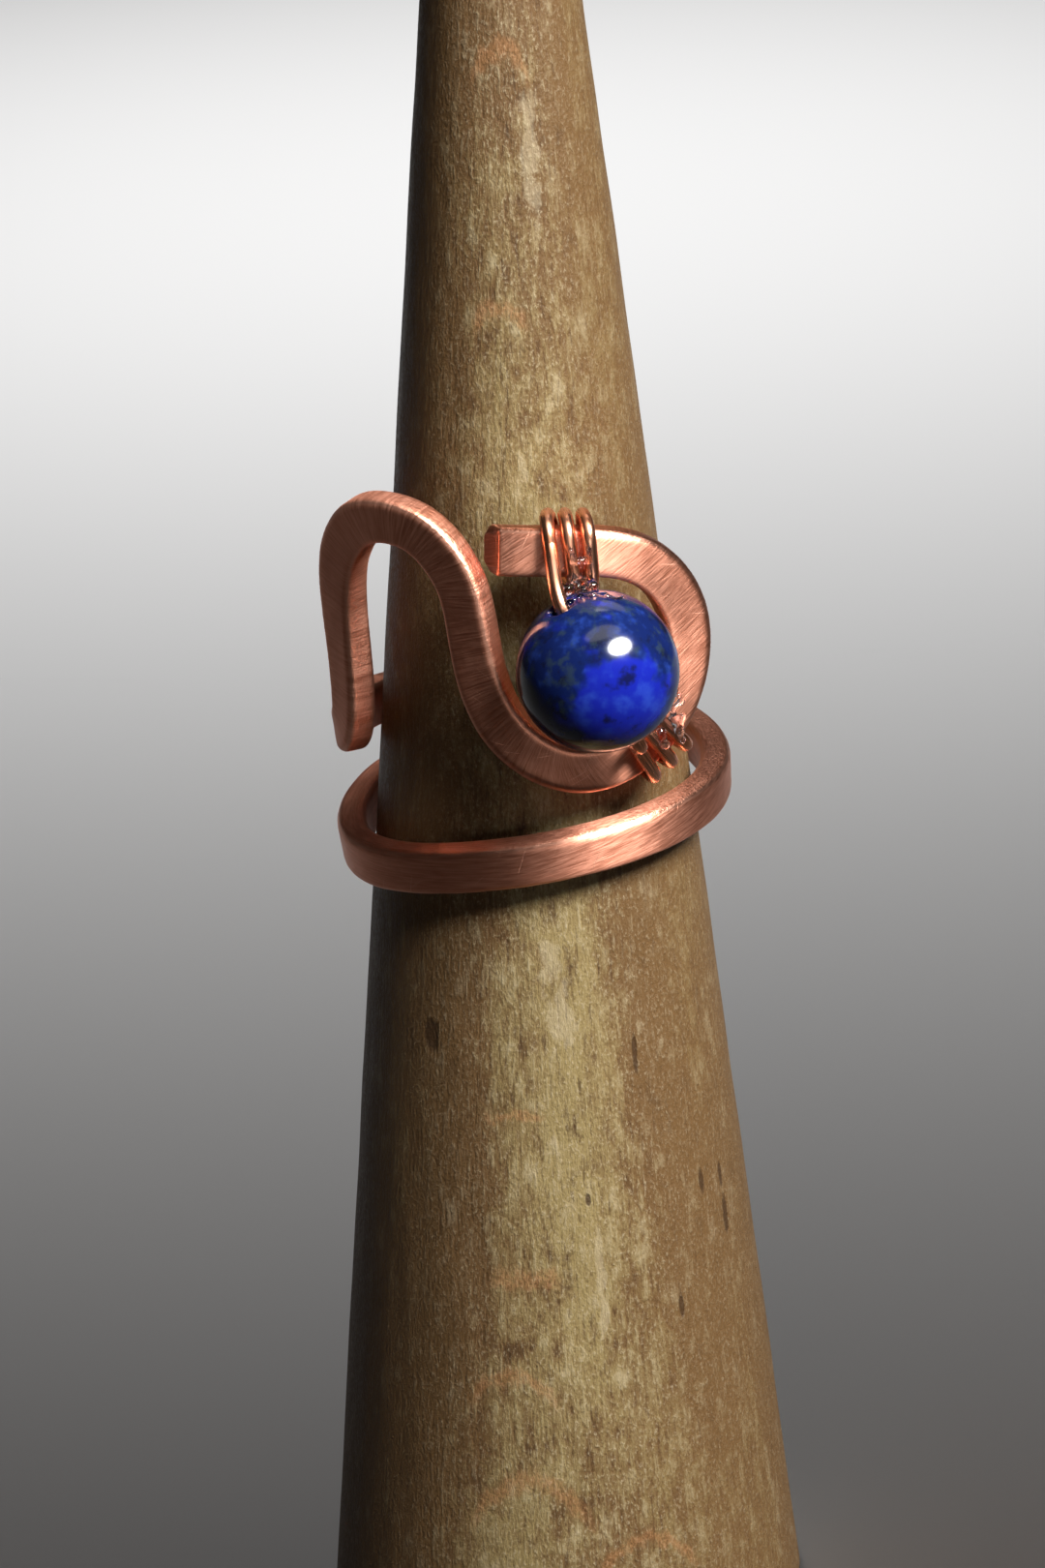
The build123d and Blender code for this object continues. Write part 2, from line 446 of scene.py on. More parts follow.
def flat_wire_tree(path_group):
    """Tree that sweeps the flattened wire's section along its bent path."""
    inputs = [*BAR_INPUTS, *floats("End rounding", "Cut slant", "Unevenness"), ("Material", MATERIAL)]
    tree, given = geometry_tree("Flattened wire", inputs)
    path = bent_path(path_group, given)
    bar = stored(path, "run", node(tree, "GeometryNodeInputTangent")[0])
    total = node(tree, "GeometryNodeSplineLength")["Length"]
    here = named(tree, "along", "FLOAT")
    to_end = maths("MINIMUM", here, total - here)
    left = maths("MAXIMUM", 1.0 - to_end / given["End rounding"], 0.0)
    cut = given["End rounding"] * (1.0 - maths("SQRT", 1.0 - left * left))
    scale = 1.0 - cut / (given["Bar thickness"] * 0.5)
    mesh, (through, across, _) = swept(bar, section(given, 0.0, BAR_SIDES), Scale=scale)
    placed = stored(mesh, "wire_place", combined(here, across, through))
    inputs = {"Vector": named(tree, "wire_place"), "Scale": UNEVEN_CELLS, "Detail": 3.0, "Roughness": 0.55}
    depth = node(tree, "ShaderNodeTexNoise", inputs)[0] * given["Unevenness"] * -1.0
    normal = node(tree, "GeometryNodeInputNormal")[0]
    near_tip = maths("MAXIMUM", 1.0 - here / CUT_REACH, 0.0)
    slant = given["Cut slant"] * (through / given["Bar thickness"] + CUT_FORWARD) * near_tip
    worn = scaled(normal, depth)
    slanted = scaled(named(tree, "run"), slant)
    return finished_tree(given, moved(placed, Offset=vectors("ADD", worn, slanted)))


WRAP_SIZES = ["Start", "First turn", "Turns", "Pitch", "Lean"]
# Degrees between the points of a turn
WRAP_STEP = 14.0


def wraps_tree():
    """Node group for the middle line of turns of thin wire round the flattened wire.

    Turns are in degrees, 0 at the flattened wire's left edge and 90 at its wide face. Each turn
    lies one pitch nearer the flattened wire's tip than the turn before it, and leans towards the
    tip at the left edge.
    """
    inputs = [("Bar", GEOMETRY), ("Section", GEOMETRY), *floats("Section start", "Order", *WRAP_SIZES)]
    tree, given = geometry_tree("Turns round the bar", inputs, "Points")
    count = maths("ROUND", abs(given["Turns"]) / WRAP_STEP) + 1.0
    points = node(tree, "GeometryNodePoints", {"Count": count})[0]
    index = node(tree, "GeometryNodeInputIndex")[0]
    gone = index * WRAP_STEP
    turn = given["First turn"] + gone * maths("SIGN", given["Turns"])
    lean = given["Lean"] * (maths("COSINE", maths("RADIANS", turn)) + 1.0)
    back = given["Pitch"] * (gone / FULL_TURN) + lean
    bar = node(
        tree,
        "GeometryNodeSampleCurve",
        {"Curves": given["Bar"], "Value": named(tree, "wide_face"), "Length": given["Start"] - back},
        mode="LENGTH",
        data_type="FLOAT_VECTOR",
        use_all_curves=True,
    )
    share = maths("FRACT", given["Section start"] - turn / FULL_TURN)
    inputs = {"Curves": given["Section"], "Factor": share}
    around = node(tree, "GeometryNodeSampleCurve", inputs, mode="FACTOR", use_all_curves=True)
    out, across, _ = parts(around["Position"])
    face = vectors("NORMALIZE", bar["Value"])
    side = vectors("CROSS_PRODUCT", face, bar["Tangent"])
    shift = vectors("ADD", scaled(face, out), scaled(side, across))
    wound = moved(points, Position=vectors("ADD", bar["Position"], shift))
    return end_tree(stored(wound, "order", given["Order"] + index, "FLOAT"))


WRAP_SETS = ("Top", "Low", "Tail")
# Number of the first point in the hole, larger than any set of turns has points
HOLE_ORDER = 1000.0
# Points round the thin wire, and round the closed curve that its turns follow
ROUND_SIDES = 20
AROUND_POINTS = 240


def binding_wire_tree(path_group, wraps_group):
    """Tree that winds the thin wire round the bar, through the bead and round the hook.

    Its mesh holds the points in the bead's hole. The order of all points is that of the wire: the
    top wraps, the hole, the low wraps and the tail.
    """
    inputs = [("Geometry", GEOMETRY), *BAR_INPUTS, *floats("Wire diameter", "Clearance")]
    inputs += floats(*(f"{name} {size}" for name in WRAP_SETS for size in WRAP_SIZES))
    inputs.append(("Material", MATERIAL))
    tree, given = geometry_tree("Binding wire", inputs)
    bar = bent_path(path_group, given)
    radius = given["Wire diameter"] * 0.5
    grow = radius + given["Clearance"]
    quarter = (given["Bar corner"] + grow) * (math.pi / 2)
    flat_out = given["Bar thickness"] * 0.5 - given["Bar corner"]
    flat_side = given["Bar width"] * 0.5 - given["Bar corner"]
    # Share of the closed curve at the middle of its left edge, where a turn is at 0
    start = (quarter + flat_out) / ((flat_out + flat_side + quarter) * 4.0)
    wrapped = {"Bar": bar, "Section": section(given, grow, AROUND_POINTS), "Section start": start}
    hole = node(tree, "GeometryNodeMeshToPoints", {"Mesh": given["Geometry"]})[0]
    hole_order = node(tree, "GeometryNodeInputIndex")[0] + HOLE_ORDER
    sets = [stored(hole, "order", hole_order, "FLOAT")]
    for number, name in enumerate(WRAP_SETS):
        sizes = {size: given[f"{name} {size}"] for size in WRAP_SIZES}
        inputs = {**wrapped, **sizes, "Order": number * 2 * HOLE_ORDER}
        sets.append(node(tree, "GeometryNodeGroup", inputs, node_tree=wraps_group)["Points"])
    joined = node(tree, "GeometryNodeJoinGeometry", {0: sets})[0]
    inputs = {"Points": joined, "Weight": named(tree, "order", "FLOAT")}
    line = node(tree, "GeometryNodePointsToCurves", inputs)[0]
    spline = node(tree, "GeometryNodeCurveSplineType", {"Curve": line}, spline_type="NURBS")
    fine = measured(stepped(spline["Curve"], given["Step"]))
    inputs = {"Resolution": ROUND_SIDES, "Radius": radius}
    circle = node(tree, "GeometryNodeCurvePrimitiveCircle", inputs)["Curve"]
    mesh, (across, through, _) = swept(fine, circle)
    placed = stored(mesh, "wire_place", combined(named(tree, "along", "FLOAT"), across, through))
    return finished_tree(given, placed)


# Density at which the glue's skin lies, and how often its points are evened out
SKIN_DENSITY = 0.1
SKIN_EASING = 10


def glue_tree():
    """Tree that melts drops together into one clear lump with a rippled skin."""
    inputs = [("Geometry", GEOMETRY), *floats("Cell", "Ripple", "Ripple scale"), ("Material", MATERIAL)]
    tree, given = geometry_tree("Glue", inputs)
    cell = {"Voxel Size": given["Cell"]}
    size = named(tree, "drop_radius", "FLOAT")
    inputs = {"Mesh": resized(given["Geometry"], PER_MM), "Radius": size}
    drops = node(tree, "GeometryNodeMeshToPoints", inputs)[0]
    inputs = {"Points": drops, "Radius": size, **cell}
    cloud = node(tree, "GeometryNodePointsToVolume", inputs, resolution_mode="VOXEL_SIZE")[0]
    inputs = {"Volume": cloud, "Threshold": SKIN_DENSITY, **cell}
    skin = node(tree, "GeometryNodeVolumeToMesh", inputs, resolution_mode="VOXEL_SIZE")["Mesh"]
    place = position(tree)
    inputs = {"Value": place, "Iterations": SKIN_EASING}
    eased = node(tree, "GeometryNodeBlurAttribute", inputs, data_type="FLOAT_VECTOR")["Value"]
    inputs = {"Vector": place, "Scale": given["Ripple scale"], "Detail": 2.0}
    ripples = node(tree, "ShaderNodeTexNoise", inputs)[0]
    push = (ripples - 0.5) * given["Ripple"]
    normal = node(tree, "GeometryNodeInputNormal")[0]
    rippled = moved(moved(skin, Position=eased), Offset=scaled(normal, push))
    return finished_tree(given, resized(rippled, MM))


def placed_piece(context, name, mesh, material=None):
    """Object at the origin for a finished mesh."""
    piece = bpy.data.objects.new(name, mesh)
    context.collection.objects.link(piece)
    if material:
        mesh.materials.append(material)
    return piece


def run_tree(context, tree, name, values, mesh=None):
    """Runs a geometry tree on a mesh and returns its result as a plain mesh object."""
    holder = bpy.data.objects.new(name + "_maker", mesh or bpy.data.meshes.new(name + "_maker"))
    context.collection.objects.link(holder)
    modifier = holder.modifiers.new(tree.name, "NODES")
    modifier.node_group = tree
    sockets = {
        item.name: item.identifier
        for item in tree.interface.items_tree
        if item.item_type == "SOCKET" and item.in_out == "INPUT"
    }
    for label, value in values.items():
        modifier[sockets[label]] = value
    evaluated = holder.evaluated_get(context.evaluated_depsgraph_get())
    made = bpy.data.meshes.new_from_object(evaluated)
    made.name = name
    holder.modifiers.remove(modifier)
    bpy.data.objects.remove(holder)
    if not made.polygons:
        raise RuntimeError(f"{name} came out empty")
    return placed_piece(context, name, made)


# Shapes in plain mesh code

# Steps of the path between two poles
PATH_STEPS = 24


def flat_path(context):
    """Curve of the flattened wire's poles on the unrolled finger: run, height and lift."""
    ring = context.scene.copper_ring_wire
    curve = bpy.data.curves.new("wire_path", "CURVE")
    curve.dimensions = "3D"
    curve.resolution_u = PATH_STEPS
    spline = curve.splines.new("NURBS")
    spline.points.add(len(WIRE_POLES) - 1)
    middle = ring.bore / 2 + ring.thickness / 2
    for point, (angle, height, lift, twist) in zip(spline.points, WIRE_POLES):
        run = math.radians(angle) * middle
        point.co = (run, height * ring.design_height, lift * ring.thickness, 1.0)
        point.tilt = math.radians(twist)
    spline.order_u = 4
    spline.use_endpoint_u = True
    path = bpy.data.objects.new("wire_path", curve)
    context.collection.objects.link(path)
    return path


def bar_values(context, path, step):
    """Values of the inputs that describe the flattened wire."""
    ring = context.scene.copper_ring_wire
    return {
        "Path": path,
        "Finger radius": ring.bore / 2,
        "Ring level": ring.level,
        "Bar width": ring.width,
        "Bar thickness": ring.thickness,
        "Bar corner": ring.corner,
        "Step": step,
    }


def lathe(name, outline, sides, worn=None):
    """Closed mesh turned about +Z from an outline of (radius, height) points."""
    mesh = bpy.data.meshes.new(name)
    work = bmesh.new()
    closed = outline[0] == outline[-1]
    rings = []
    for radius, height in outline[:-1] if closed else outline:
        if radius == 0:
            rings.append([work.verts.new((0, 0, height))] * sides)
            continue
        ring = []
        for i in range(sides):
            turn = math.tau * i / sides
            reach = radius - worn(radius, turn, height) if worn else radius
            ring.append(work.verts.new((reach * math.cos(turn), reach * math.sin(turn), height)))
        rings.append(ring)
    if closed:
        rings.append(rings[0])
    for low, high in zip(rings, rings[1:]):
        for i in range(sides):
            k = (i + 1) % sides
            corners = [low[i], low[k], high[k], high[i]]
            work.faces.new(list(dict.fromkeys(corners)))
    bmesh.ops.recalc_face_normals(work, faces=work.faces)
    for face in work.faces:
        face.smooth = True
    work.to_mesh(mesh)
    work.free()
    return mesh


def arc(centre, radius, first, last, steps):
    """Points of an arc in the outline's plane, with angles in degrees from level."""
    points = []
    for i in range(steps + 1):
        turn = math.radians(first + (last - first) * i / steps)
        points.append((centre[0] + radius * math.cos(turn), centre[1] + radius * math.sin(turn)))
    return points


# Steps of the bead's rims and of its ball, and of the cone's foot edge and tip
RIM_STEPS = 6
BALL_STEPS = 120
FOOT_STEPS = 8
TIP_STEPS = 24


def bead_outline(bead):
    """Outline of the drilled bead: round the lower rim, up the ball, round the upper rim and down."""
    hole = bead.hole / 2
    soft = bead.hole_round
    lip = math.sqrt((BEAD_RADIUS - soft) ** 2 - (hole + soft) ** 2)
    meet = math.degrees(math.atan2(lip, hole + soft))
    outline = arc((hole + soft, -lip), soft, HALF_TURN, FULL_TURN - meet, RIM_STEPS)
    outline += arc((0, 0), BEAD_RADIUS, -meet, meet, BALL_STEPS)[1:-1]
    outline += arc((hole + soft, lip), soft, meet, HALF_TURN, RIM_STEPS)
    return [*outline, outline[0]]


def cone_outline(cone):
    """Outline of the cone from its foot's middle to its tip, with both edges rounded."""
    height = CONE_HIGH.z - CONE_LOW.z
    widest = (CONE_HIGH.x - CONE_LOW.x) / 2
    lean = math.atan(cone.slope)
    slant = math.degrees(lean)
    foot = widest + cone.foot_round * (1 / math.cos(lean) + cone.slope - 1)
    tip = foot - cone.slope * height
    foot_middle = widest - cone.foot_round
    tip_middle = tip + cone.slope * cone.tip_round - cone.tip_round / math.cos(lean)
    foot_edge = arc((foot_middle, cone.foot_round), cone.foot_round, -90, slant, FOOT_STEPS)
    tip_edge = arc((tip_middle, height - cone.tip_round), cone.tip_round, slant, 90, TIP_STEPS)
    low, high = foot_edge[-1], tip_edge[0]
    side = []
    for i in range(1, cone.rows):
        share = i / cone.rows
        side.append((low[0] + (high[0] - low[0]) * share, low[1] + (high[1] - low[1]) * share))
    return [(0, 0), (foot_middle / 2, 0), *foot_edge, *side, *tip_edge, (0, height)]


def bead_axes(bead):
    """Directions to the right of the bead, up, and out from the finger."""
    angle = math.radians(bead.angle)
    right = Vector((math.cos(angle), math.sin(angle), 0))
    return right, Vector((0, 0, 1)), Vector((math.sin(angle), -math.cos(angle), 0))


def hole_direction(bead):
    """Direction of the bead's hole, from its upper end."""
    right, up, _ = bead_axes(bead)
    slant = math.radians(bead.hole_slant)
    return right * math.sin(slant) - up * math.cos(slant)


# Distance under which two drops get a smaller one between them, in millimetres, and its share of
# their size
DROP_BRIDGE = 0.8
BRIDGE_SIZE = 0.85


def with_bridges(drops):
    """Drops with a smaller one between each two that lie close together."""
    bridges = []
    for i, first in enumerate(drops):
        for second in drops[i + 1:]:
            if math.dist(first[:3], second[:3]) < DROP_BRIDGE:
                middle = [(a + b) / 2 for a, b in zip(first, second)]
                bridges.append((*middle[:3], middle[3] * BRIDGE_SIZE))
    return [*drops, *bridges]


# Mean depth of the worn wood, and the depth of its open grain and of its dents, in millimetres
WEAR_DEPTH = 0.035
FIBRE_DEPTH = 0.030
DENT_DEPTH = 0.035
# Cells of the grain, round the cone and up it, and of the dents, for each millimetre
FIBRE_CELLS = 0.9
FIBRE_RISE = 0.10
DENT_CELLS = 0.22
DENT_SHIFT = Vector((7.0, 3.0, 1.0))


def wood_wear(radius, turn, height):
    """Depth of the wood's open grain and soft dents at a place on the cone, in metres."""
    place = Vector((radius * math.cos(turn), radius * math.sin(turn), height)) * PER_MM
    fibres = noise.noise(Vector((place.x * FIBRE_CELLS, place.y * FIBRE_CELLS, place.z * FIBRE_RISE)))
    dents = noise.noise(place * DENT_CELLS + DENT_SHIFT)
    return max(0.0, WEAR_DEPTH + FIBRE_DEPTH * fibres + DENT_DEPTH * dents) * MM


# Materials

def new_material(name):
    """Material with its node tree emptied down to a Principled shader, and that shader's inputs."""
    material = bpy.data.materials.new(name)
    material.use_nodes = True
    tree = material.node_tree
    tree.nodes.clear()
    shader = tree.nodes.new("ShaderNodeBsdfPrincipled")
    output = tree.nodes.new("ShaderNodeOutputMaterial")
    tree.links.new(shader.outputs["BSDF"], output.inputs["Surface"])
    return material, tree, shader.inputs


def blended(factor, first, second):
    """Colour that goes from the first to the second with a factor."""
    ends = [value if isinstance(value, Output) else (*value, 1.0) for value in (first, second)]
    inputs = {"Factor": factor, 6: ends[0], 7: ends[1]}
    return node(factor.tree, "ShaderNodeMix", inputs, data_type="RGBA")[2]


def layered(colour, layers):
    """Colour with others laid over it, each by a pattern and the ramp that gives its share."""
    for pattern, low, high, low_share, high_share, over in layers:
        colour = blended(ramp(pattern, low, high, low_share, high_share), colour, over)
    return colour


def ramp(value, low, high, low_value=0.0, high_value=1.0):
    """Number that runs smoothly from one value to another between two inputs."""
    inputs = {"Value": value, "From Min": low, "From Max": high, "To Min": low_value, "To Max": high_value}
    return node(value.tree, "ShaderNodeMapRange", inputs, interpolation_type="SMOOTHSTEP")["Result"]


def mixed_number(factor, first, second):
    """Number that goes from the first to the second with a factor."""
    inputs = {0: factor, 2: first, 3: second}
    return node(factor.tree, "ShaderNodeMix", inputs, data_type="FLOAT")[0]


def mixed_vector(factor, first, second):
    """Vector that goes from the first to the second with a factor."""
    inputs = {0: factor, 4: first, 5: second}
    return node(factor.tree, "ShaderNodeMix", inputs, data_type="VECTOR")[1]


def grain(place, cells, turn=0.0, shift=0.0, detail=3.0, roughness=0.55):
    """Noise from 0 to 1, with cells for each millimetre along three axes, turned about the third."""
    tree = place.tree
    if turn:
        inputs = {"Vector": place, "Angle": math.radians(turn)}
        place = node(tree, "ShaderNodeVectorRotate", inputs, rotation_type="Z_AXIS")[0]
    place = vectors("MULTIPLY", place, cells)
    if shift:
        place = vectors("ADD", place, (shift, shift, shift))
    inputs = {"Vector": place, "Scale": 1.0, "Detail": detail, "Roughness": roughness}
    return node(tree, "ShaderNodeTexNoise", inputs)[0]


def bumps(height, depth, strength):
    """Normal of a surface with bumps of some height, with their depth in metres."""
    inputs = {"Height": height, "Strength": strength, "Distance": depth}
    return node(height.tree, "ShaderNodeBump", inputs)["Normal"]


def wire_place(tree):
    """Place on a wire in millimetres: along it, across its wide face and through it."""
    place = node(tree, "ShaderNodeAttribute", attribute_name="wire_place")["Vector"]
    return scaled(place, PER_MM)


def object_place(tree):
    """Place in the part in millimetres."""
    return scaled(node(tree, "ShaderNodeTexCoord")["Object"], PER_MM)


# Stretches of the flattened wire by how they were brushed: end of the stretch in millimetres from
# the tip, cells for each millimetre along and across, degrees that the strokes are turned, and
# whether the strokes run along the wire
BRUSHED_STRETCHES = [
    (24.0, 14.0, 0.7, 32, False),
    (34.0, 12.0, 0.5, 12, False),
    (64.0, 12.0, 0.5, -4, False),
    (104.0, 0.8, 11.0, 10, True),
    (140.0, 0.5, 12.0, -3, True),
]
BLEND_LENGTH = 3.0
# How far the free strokes on the tip and the hook reach, in millimetres from the tip, their cells
# for each millimetre, and the degrees by which they rise and their highlight's spread leans
FREE_STROKES = 22.0
FREE_CELLS = (0.7, 11.0, 0.0)
STROKE_RISE = 32.0
SPREAD_LEAN = -10.0
# How far the strokes draw a highlight out, where they run along the wire and where they cross it
STRONG_SPREAD = 0.75
WEAK_SPREAD = 0.40
# How rough the strokes and the cells of the finest noise are
STROKE_ROUGHNESS = 0.65
# Distances from the middle of the wire's section, in millimetres, over which its rubbed edges and
# its side faces begin
EDGE_ACROSS = (0.95, 1.18)
EDGE_THROUGH = (0.50, 0.74)
SIDE_FACES = (1.05, 1.22)


def free_spread(normal):
    """Direction on a face that leans a little from upright."""
    to_right = vectors("NORMALIZE", vectors("CROSS_PRODUCT", (0.0, 0.0, 1.0), normal))
    to_top = vectors("CROSS_PRODUCT", normal, to_right)
    lean = math.radians(SPREAD_LEAN)
    upwards = scaled(to_top, math.cos(lean))
    return vectors("SUBTRACT", upwards, scaled(to_right, math.sin(lean)))


def brushing(tree, place):
    """The copper's strokes, the direction in which they spread a highlight, and how far.

    The strokes on the tip and the hook all run one way, rising to the right, and spread a
    highlight nearly upright. Further on they follow the wire or cross it, and spread it square to
    themselves.
    """
    run = node(tree, "ShaderNodeAttribute", attribute_name="run")["Vector"]
    normal = node(tree, "ShaderNodeNewGeometry")["Normal"]
    over = vectors("CROSS_PRODUCT", normal, run)
    angle, reach, height = unrolled(object_place(tree))
    flat = combined(aside_from(angle, reach, 0.0), height)
    strokes = grain(flat, FREE_CELLS, -STROKE_RISE, roughness=STROKE_ROUGHNESS)
    spread = free_spread(normal)
    one_way = STRONG_SPREAD
    from_tip = parts(place)[0]
    last_end = FREE_STROKES
    for number, (end, along, across, turn, follows) in enumerate(BRUSHED_STRETCHES, 1):
        cells = (along, across, across)
        layer = grain(place, cells, turn, shift=number * 5.0, roughness=STROKE_ROUGHNESS)
        share = ramp(from_tip, last_end - BLEND_LENGTH / 2, last_end + BLEND_LENGTH / 2)
        strokes = mixed_number(share, strokes, layer)
        spread = mixed_vector(share, spread, over if follows else run)
        one_way = mixed_number(share, one_way, STRONG_SPREAD if follows else WEAK_SPREAD)
        last_end = end
    return strokes, spread, one_way


def copper_material(context):
    """Satin copper, brushed in stretches, with scratches, tarnish and rubbed edges."""
    colours = context.scene.copper_ring_finish
    material, tree, shader = new_material("satin_copper")
    place = wire_place(tree)
    _, across, through = parts(place)
    strokes, spread, one_way = brushing(tree, place)
    scratches = grain(place, (0.35, 14.0, 14.0), 38, shift=31.0, detail=1.0)
    other_way = grain(place, (13.0, 0.3, 0.3), -24, shift=47.0, detail=1.0)
    scratched = ramp(maths("MAXIMUM", scratches, other_way), 0.70, 0.80, 0.0, 0.6)
    edge = ramp(abs(across), *EDGE_ACROSS) * ramp(abs(through), *EDGE_THROUGH)
    tarnish = grain(place, (0.22, 0.5, 0.5), shift=3.0)
    colour = blended(ramp(strokes, 0.28, 0.70), colours.copper_dark, colours.copper)
    colour = layered(colour, [(tarnish, 0.45, 0.75, 0.0, 0.5, colours.tarnish)])
    colour = blended(maths("MAXIMUM", scratched, edge * 0.7), colour, colours.copper_pale)
    pits = grain(place, (5.0, 7.0, 7.0), shift=61.0, detail=2.0, roughness=0.7)
    relief = strokes + scratched * -0.5 + pits * ramp(abs(across), *SIDE_FACES) * 2.0
    fill(tree, shader, {
        "Base Color": colour,
        "Metallic": 1.0,
        "Roughness": ramp(strokes, 0.30, 0.70, 0.40, 0.51) - edge * 0.08,
        "Tangent": spread,
        "Anisotropic": one_way,
        "Normal": bumps(relief, depth=0.025 * MM, strength=0.75),
    })
    return material


def bright_copper_material(context):
    """Bright drawn copper."""
    colours = context.scene.copper_ring_finish
    material, tree, shader = new_material("bright_copper")
    place = wire_place(tree)
    lines = grain(place, (0.4, 9.0, 9.0), detail=2.0)
    patches = grain(place, (0.5, 0.8, 0.8), shift=9.0)
    fill(tree, shader, {
        "Base Color": blended(ramp(patches, 0.35, 0.65), colours.bright_dark, colours.bright),
        "Metallic": 1.0,
        "Roughness": ramp(lines, 0.3, 0.7, 0.22, 0.34),
        "Normal": bumps(lines, depth=0.008 * MM, strength=0.5),
    })
    return material


# Middle of the painted light on the bead's front, where its blue is clearest, and how far it reaches
# before painted shade darkens the bead's sides, in millimetres
PAINTED_LIT_FRONT = (4.2, -17.0, 56.3)
PAINTED_LIGHT_REACH = (0.8, 3.3)


def lapis_material(context):
    """Polished royal blue stone with darker, greenish and paler clouds and a few gold specks, painted
    lighter on its front and darker towards its sides as painted light and shade.
    """
    colours = context.scene.copper_ring_finish
    material, tree, shader = new_material("lapis")
    place = object_place(tree)
    # Painted light and shade: the clouds are pushed towards the main blue near the bead's front and
    # towards the dark blue farther from it
    aside = vectors("LENGTH", vectors("SUBTRACT", place, PAINTED_LIT_FRONT))
    clouds = grain(place, (0.36, 0.36, 0.36), shift=2.4, roughness=0.6)
    clouds = clouds + ramp(aside, *PAINTED_LIGHT_REACH, 0.13, -0.12)
    mottle = grain(place, (0.8, 0.8, 0.8), shift=8.6, detail=4.0)
    specks = grain(place, (1.3, 1.3, 1.3), shift=17.0, detail=4.0, roughness=0.6)
    colour = blended(ramp(clouds, 0.42, 0.56), colours.stone_dark_and_side_shade, colours.stone)
    colour = layered(colour, [
        (mottle, 0.50, 0.74, 0.0, 0.45, colours.stone_pale),
        (mottle, 0.32, 0.47, 0.85, 0.0, colours.stone_deep),
    ])
    green = ramp(specks, 0.48, 0.66) * ramp(clouds, 0.42, 0.54, 0.45, 0.0)
    colour = blended(green, colour, colours.stone_green)
    colour = layered(colour, [(specks, 0.72, 0.76, 0.0, 0.6, colours.stone_gold)])
    fill(tree, shader, {"Base Color": colour, "Roughness": 0.13})
    return material


def unrolled(place):
    """Degrees round the cone from its front, distance from its axis and height."""
    aside, behind, height = parts(place)
    front = behind * -1.0
    angle = maths("DEGREES", maths("ARCTAN2", aside, front))
    return angle, maths("SQRT", aside * aside + front * front), height


def aside_from(angle, reach, degrees):
    """Distance along the cone's surface from an upright line at some degrees from the front."""
    return (angle - degrees) * reach * (math.pi / HALF_TURN)


def largest(factors):
    """The largest of several numbers."""
    most = factors[0]
    for factor in factors[1:]:
        most = maths("MAXIMUM", most, factor)
    return most


# Where a spot's rim fades, as shares of its half width
SPOT_RIM = (0.6, 1.15)


def spots(surface, wobble, table):
    """Factor that is 1 inside each spot of a table and fades at its ragged rim."""
    angle, reach, height = surface
    factors = []
    for degrees, level, half_width, half_height in table:
        aside = aside_from(angle, reach, degrees) / half_width
        above = (height - level) / half_height
        away = vectors("LENGTH", combined(aside, above))
        factors.append(ramp(away + wobble, *SPOT_RIM, 1.0, 0.0))
    return largest(factors)


# How far a figure of the grain wavers, where its line fades, as shares of its thickness, and where
# its ends fade, as shares of its half width
ARCH_WAVER = 1.8
ARCH_INSIDE = 0.3
ARCH_OUTSIDE = 1.7
ARCH_ENDS = (0.75, 1.1)


def arches(surface, wobble):
    """Factor that is 1 along each curved figure of the grain."""
    angle, reach, height = surface
    factors = []
    for degrees, level, half_width, drop, thick in GRAIN_ARCHES:
        aside = aside_from(angle, reach, degrees) / half_width
        above = height + aside * aside * drop - level + wobble * ARCH_WAVER
        line = ramp(abs(above), thick * ARCH_INSIDE, thick * ARCH_OUTSIDE, 1.0, 0.0)
        factors.append(line * ramp(abs(aside), *ARCH_ENDS, 1.0, 0.0))
    return largest(factors)


